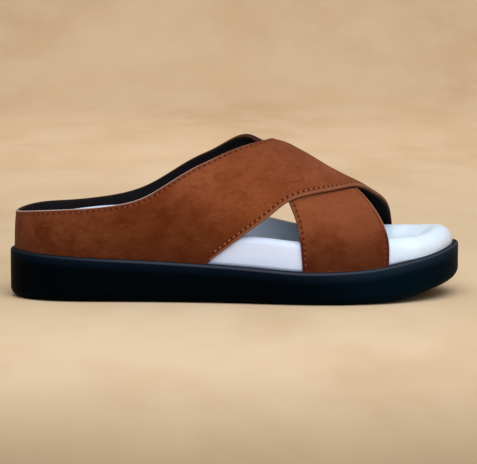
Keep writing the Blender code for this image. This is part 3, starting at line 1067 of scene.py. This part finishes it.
def suede_material():
    sheen = {"Sheen Weight": 0.10, "Sheen Roughness": 0.5, "Sheen Tint": colour(236, 176, 140)}
    look = Look("suede", {"Roughness": 0.95, "Specular IOR Level": 0.12, **sheen})
    lower_strap = look.value_of("lower_strap")
    patches = look.noise(0.009, detail=4, roughness=0.62, stretch=(1, 1, 1.25))
    brushed = look.noise(0.0042, detail=4, roughness=0.65, stretch=(0.55, 1, 1.6), shift=0.3)
    broad = look.noise(0.040, detail=2, shift=0.7)
    nap = look.noise(0.00075, detail=5, roughness=0.7, stretch=(0.7, 1, 1.3), shift=1.1)
    fibres = look.noise(0.00028, roughness=0.7, shift=2.1)
    amber = look.noise(0.014, stretch=(1, 1, 1.1), shift=4.1)
    streaks = look.noise(0.003, stretch=(0.5, 1, 1.8), shift=3.3)

    # Painted shade: suede that faces up gets a darker brown than its sides, to even out the light from
    # above
    upward = look.between(look.value_of("upward"), 0.12, 0.75)
    low = look.value_of("low")
    along = look.split(look.place)[0]
    # Painted shade: low suede ahead of the heel gets a deeper warm brown, and the lower strap's low
    # parts darker still
    low_shade_ahead = look.times(look.between(along, -0.11, -0.05), look.between(low, 0.15, 0.7, 0, 0.5))
    amber = look.times(look.between(amber, 0.42, 0.66), look.between(low, 0.1, 0.6, 0, 0.62))
    lower_strap_shade = look.times(lower_strap, look.between(low, 0.4, 0.9, 0, 0.3))
    scuffs = look.times(look.between(streaks, 0.58, 0.72), look.between(low, 0.3, 0.8, 0.05, 0.18))
    shade = look.layered(
        look.mixed(upward, colour(136, 70, 36), colour(121, 60, 31)),
        (look.between(broad, 0.42, 0.68, 0, 0.45), 150, 82, 50),
        (look.between(patches, 0.32, 0.60, 0.62, 0), 108, 46, 8),
        (look.between(brushed, 0.5, 0.70, 0, 0.45), 90, 36, 8),
        (look.between(nap, 0.38, 0.7, 0, 0.35), 160, 92, 54),
        (low_shade_ahead, 98, 38, 0),
        (look.times(lower_strap, 0.3), 158, 90, 58),
        (amber, 100, 34, 0),
        # Painted shade towards the sole, deepest at the very bottom
        (look.times(low, 0.54), 54, 18, 0),
        (look.between(low, 0.9, 1, 0, 0.3), 54, 18, 0),
        (lower_strap_shade, 60, 20, 0),
        (scuffs, 146, 86, 58),
    )

    run, offset, depth = look.split(look.value_of("seam", "Vector"))
    from_hole = look.times(look.math("PINGPONG", run, 0.5), STITCH_PITCH / MM)
    spot = look.node("ShaderNodeCombineXYZ", {0: from_hole, 1: offset}).outputs[0]
    away = look.node("ShaderNodeVectorMath", {0: spot}, operation="LENGTH").outputs["Value"]
    # Painted shade: the stitch holes are dark, as deep as the seam's vector says
    hole = look.times(look.between(away, HOLE_SIZE * 0.8, HOLE_SIZE * 1.7, 1, 0), depth)
    channel = look.between(look.math("ABSOLUTE", offset), 0.3, 1.3, 0.25, 0)
    shade = look.layered(shade, (channel, 104, 44, 24), (look.times(hole, 0.9), 72, 22, 10))

    # Darker and purplish along the lower strap's edges towards the sole
    low_lower_strap = look.times(lower_strap, look.between(low, 0.38, 0.6))
    front_edge = look.value_of("front_edge")
    rim = look.mixed(lower_strap, colour(150, 98, 74), colour(184, 142, 120))
    shade = look.mixed(look.between(front_edge, 0.6, 1.6, 0.75, 0), shade, rim)
    edge_darkening = look.times(low_lower_strap, look.between(front_edge, 1.4, 2.8, 0.9, 0))
    shade = look.layered(shade, (edge_darkening, 66, 18, 22))
    rear_edge = look.value_of("rear_edge")
    rim = look.mixed(lower_strap, colour(192, 170, 164), colour(104, 62, 44))
    shade = look.mixed(look.between(rear_edge, 0.15, 0.75, 1, 0), shade, rim)
    # Painted shade: the lower strap's rear edge over the heel and arch is near black
    behind = look.between(along, 0.012, 0.03, 1, 0)
    far_rim_shade = look.times(look.times(lower_strap, behind), 0.9)
    far_rim_shade = look.times(far_rim_shade, look.between(rear_edge, 1, 2, 1, 0))
    edge_darkening = look.times(low_lower_strap, look.between(rear_edge, 1.2, 3, 0.75, 0))
    # Painted shade: the suede's back, seen only where its edges turn under, is dark brown
    inside = look.value_of("inside")
    shade = look.layered(shade, (far_rim_shade, 30, 26, 24), (edge_darkening, 78, 24, 20), (inside, 42, 24, 18))

    relief = look.bump(look.math("SUBTRACT", 1.0, hole), 0.0006)
    relief = look.bump(patches, 0.0006, 0.5, relief)
    relief = look.bump(nap, 0.00022, 0.8, relief)
    relief = look.bump(fibres, 0.00008, 0.8, relief)
    look.set({"Base Color": shade, "Normal": relief})
    return look.material


def lining_material():
    look = Look("lining_leather", {"Roughness": 0.6, "Specular IOR Level": 0.08})
    cloud = look.noise(0.02)
    along = look.split(look.place)[0]
    toe = look.mixed(cloud, colour(6, 6, 6), colour(10, 11, 13))
    heel = look.mixed(cloud, colour(24, 12, 8), colour(22, 24, 28))
    shade = look.mixed(look.between(along, 0, 0.05, 0.8, 0), toe, heel)
    look.set({"Base Color": shade, "Normal": look.bump(look.grain(900), 0.00012, 0.6)})
    return look.material


def thread_material():
    look = Look("thread", {"Roughness": 0.7, "Specular IOR Level": 0.2})
    strands = look.noise(0.0005, detail=2, stretch=(1, 1, 0.4))
    dark = look.mixed(strands, colour(92, 42, 26), colour(122, 64, 42))
    light = look.mixed(strands, colour(140, 80, 48), colour(172, 108, 70))
    shade = look.mixed(look.value_of("tone"), dark, light)
    look.set({"Base Color": shade, "Normal": look.bump(strands, 0.0002, 0.8)})
    return look.material


def footbed_material():
    look = Look("footbed_leather", {"Specular IOR Level": 0.4})
    pores = look.noise(0.0006, roughness=0.6)
    cloud = look.noise(0.03, shift=0.4)
    along, aside, _ = look.split(look.place)
    near_side = look.between(aside, -0.02, 0, 1, 0)
    # Painted shade: the footbed's near side behind the toe is a duller blue-grey white
    near_side_shade = look.times(look.between(along, 0.02, 0.06, 0.6, 0), near_side)
    # Painted light: the toe's dish is lightened so its hollow shows less shade
    far_side = look.between(aside, -0.040, -0.025, 0, 0.6)
    painted_dish_light = look.times(look.between(along, 0.05, 0.08), far_side)
    shade = look.layered(
        look.mixed(look.between(cloud, 0.3, 0.75), colour(234, 240, 253), colour(224, 232, 251)),
        (near_side_shade, 212, 222, 244),
        # Painted shade: the footbed's far side is tinted a cooler blue-white
        (look.between(aside, 0, 0.03, 0, 0.5), 222, 240, 255),
        # Painted light: the toe end is a cooler, brighter white, its dish lighter still
        (look.between(along, 0.05, 0.08, 0, 0.6), 226, 243, 255),
        (painted_dish_light, 236, 246, 255),
        (look.between(pores, 0.5, 0.75, 0, 0.12), 168, 180, 200),
    )
    relief = look.bump(pores, 0.00010, 0.4, look.bump(look.grain(620), 0.00018, 0.35))
    roughness = look.between(cloud, 0.2, 0.8, 0.42, 0.55)
    look.set({"Base Color": shade, "Normal": relief, "Roughness": roughness})
    return look.material


def rubber_material():
    dull = {"Specular IOR Level": 0.02, "Specular Tint": (0.6, 0.8, 1.0, 1)}
    look = Look("outsole_rubber", dull)
    pitting = look.noise(0.0009, detail=4, roughness=0.6)
    cloud = look.noise(0.018, detail=4, shift=0.9)
    dust = look.noise(0.004, detail=5, roughness=0.7, shift=1.7)
    along = look.split(look.place)[0]
    # Painted light: the outsole's toe end, which turns up, is lighter and bluer
    toe = look.between(along, 0.03, 0.11)
    below = look.value_of("below_rim")
    shade = look.layered(
        look.mixed(cloud, colour(0, 3, 6), colour(1, 5, 9)),
        (toe, 2, 16, 25),
        (look.between(dust, 0.62, 0.8, 0, 0.15), 20, 27, 34),
    )
    # Painted light: a lighter band just below the rim, lighter still at the toe
    band = look.mixed(toe, colour(9, 19, 31), colour(26, 41, 53))
    shade = look.mixed(look.between(below, 1.8, 8.5, 0.85, 0), shade, band)
    # Painted highlight along the rim's edge, weaker towards the heel
    lit = look.between(along, -0.125, -0.05, 0.25, 0.85)
    lit = look.times(look.between(below, 0.9, 2, 1, 0), lit)
    # Painted shade: a dark line right at the seam under the straps
    painted_seam_shade = look.between(below, 0.1, 0.4, 0.75, 0)
    shade = look.layered(shade, (lit, 62, 65, 75), (painted_seam_shade, 10, 13, 18))
    roughness = look.between(cloud, 0.25, 0.8, 0.5, 0.64)
    relief = look.bump(pitting, 0.00016, 0.5)
    look.set({"Base Color": shade, "Roughness": roughness, "Normal": relief})
    return look.material


def floor_material():
    look = Look("floor", {"Roughness": 0.95, "Specular IOR Level": 0.1})
    far = look.noise(0.42, stretch=(1, 0.4, 1))
    near = look.noise(0.09, detail=4, stretch=(1, 0.4, 1), shift=0.5)
    x, y, _ = look.split(look.place)
    # Painted shade: the floor towards the front is darker, as if the light falls off
    front_floor_shade = look.between(y, -0.62, -0.2, 0.78, 0)
    aside = look.between(look.math("ABSOLUTE", x), 0.02, 0.09, 1, 1.1)
    shade = look.layered(
        look.mixed(look.between(far, 0.3, 0.7), colour(237, 207, 168), colour(221, 189, 149)),
        (look.between(near, 0.35, 0.65, 0, 0.55), 242, 214, 180),
        (look.times(front_floor_shade, aside), 138, 112, 81),
    )
    look.set({"Base Color": shade, "Normal": look.bump(near, 0.004, 0.2)})
    return look.material


# ---- stage, camera and lights


def stage_floor():
    """A round pale floor that curves up into a wall on all sides."""
    profile = [(r, 0.0) for r in np.linspace(0, FLOOR_RADIUS, FLOOR_RINGS)]
    for angle in quarter_turn(BEND_STEPS)[1:]:
        reach = FLOOR_RADIUS + FLOOR_BEND * math.sin(angle)
        profile.append((reach, FLOOR_BEND * (1 - math.cos(angle))))
    profile.append((FLOOR_RADIUS + FLOOR_BEND, WALL_HEIGHT))
    shape = bmesh.new()
    rings = []
    turns = [k / FLOOR_SIDES * 2 * math.pi for k in range(FLOOR_SIDES)]
    for radius, z in profile:
        spots = [(radius * math.cos(a), radius * math.sin(a), z) for a in turns]
        rings.append([shape.verts.new(spot) for spot in spots])
    for first, second in zip(rings, rings[1:]):
        for i in range(FLOOR_SIDES):
            j = (i + 1) % FLOOR_SIDES
            shape.faces.new((first[i], second[i], second[j], first[j]))
    bmesh.ops.remove_doubles(shape, verts=shape.verts, dist=MERGE_DISTANCE)
    mesh = bpy.data.meshes.new("floor")
    shape.to_mesh(mesh)
    shape.free()
    floor = add_piece("floor", mesh, floor_material())


def area_light(name, place, aim, size, power, tint):
    light = bpy.data.lights.new(name, "AREA")
    light.shape = "DISK"
    light.size = size
    light.energy = power
    light.color = tint
    lamp = add_object(name, light)
    lamp.location = place
    lamp.rotation_euler = (Vector(aim) - Vector(place)).to_track_quat("-Z", "Y").to_euler()


def light_the_stage():
    world = bpy.data.worlds.new("studio")
    world.use_nodes = True
    sky = world.node_tree.nodes["Background"]
    sky.inputs["Color"].default_value = SKY_COLOUR
    sky.inputs["Strength"].default_value = SKY_STRENGTH
    bpy.context.scene.world = world
    for light in LIGHTS:
        area_light(*light)


def add_camera():
    camera = bpy.data.cameras.new("camera")
    camera.sensor_width = SENSOR_WIDTH
    camera.lens = camera.sensor_width * FOCAL_PIXELS / PICTURE_WIDTH
    camera.shift_x = (PICTURE_WIDTH / 2 - TARGET_PIXEL[0]) / PICTURE_WIDTH
    camera.shift_y = -(PICTURE_HEIGHT / 2 - TARGET_PIXEL[1]) / PICTURE_WIDTH
    tilt = math.radians(CAMERA_ELEVATION)
    holder = add_object("camera", camera)
    holder.location = TARGET + Vector((0, -math.cos(tilt), math.sin(tilt))) * CAMERA_DISTANCE
    holder.rotation_euler = (math.pi / 2 - tilt, 0, 0)
    bpy.context.scene.camera = holder


# ---- the sandal


def dress():
    band = Band()
    rear_path = stitch_path(band, REAR_STITCH_INSET, False)
    front_path = stitch_path(band, FRONT_STITCH_INSET, True)
    suede = suede_piece(band, rear_path[2], front_path[2], suede_material())
    lining = lining_piece(band, lining_material())
    upper = band.stations < band.corners[0] - CORNER_MARGIN
    lower = band.stations > band.corners[1] + CORNER_MARGIN
    rows = [(*rear_path, REAR_TONE)]
    fronts = (upper, UPPER_FRONT_TONE, 0.0), (lower, LOWER_FRONT_TONE, LOWER_THREAD_SINK)
    for part, tone, sunk in fronts:
        path, normals, run = (values[part] for values in front_path)
        rows.append((path - normals * sunk, normals, run, tone))
    threads = thread_piece(rows, thread_material())
    sole = outsole(rubber_material())
    bed = footbed(footbed_material())
    for piece in (suede, lining, threads, sole, bed):
        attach(piece, "root")
    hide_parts("upper")
    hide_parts("outsole")
    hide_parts("footbed")


dress()
stage_floor()
light_the_stage()
add_camera()
bpy.context.scene.view_settings.view_transform = "Standard"
